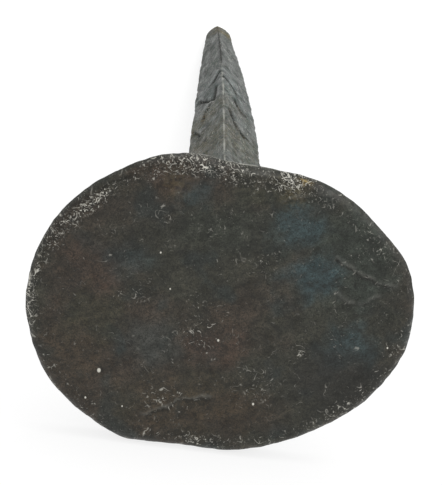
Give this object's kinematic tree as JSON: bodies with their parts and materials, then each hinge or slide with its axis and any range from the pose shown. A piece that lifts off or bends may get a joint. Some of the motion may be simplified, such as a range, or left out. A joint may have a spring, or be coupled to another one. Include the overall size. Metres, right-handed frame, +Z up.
{
  "type": "rail spike",
  "caption": "Hand-forged iron rail spike with a wide, nearly flat oval head and a square shank that tapers to a blunt point.",
  "frame": {"origin": "on the surface the spike lies on, below the middle of its bounding box", "axes": "+Y from the head to the point, +Z up, +X to the right when facing the head; the spike rests on a flat stretch of its head's rim and on the low corner of its shank beside the point, so its own axis falls 6.6 degrees from +Y"},
  "size_m": [0.0422, 0.1406, 0.0326],
  "materials": {
    "forged_iron": "satin"
  },
  "bodies": {
    "root": {"rail_spike": "forged_iron"}
  },
  "joints": []
}
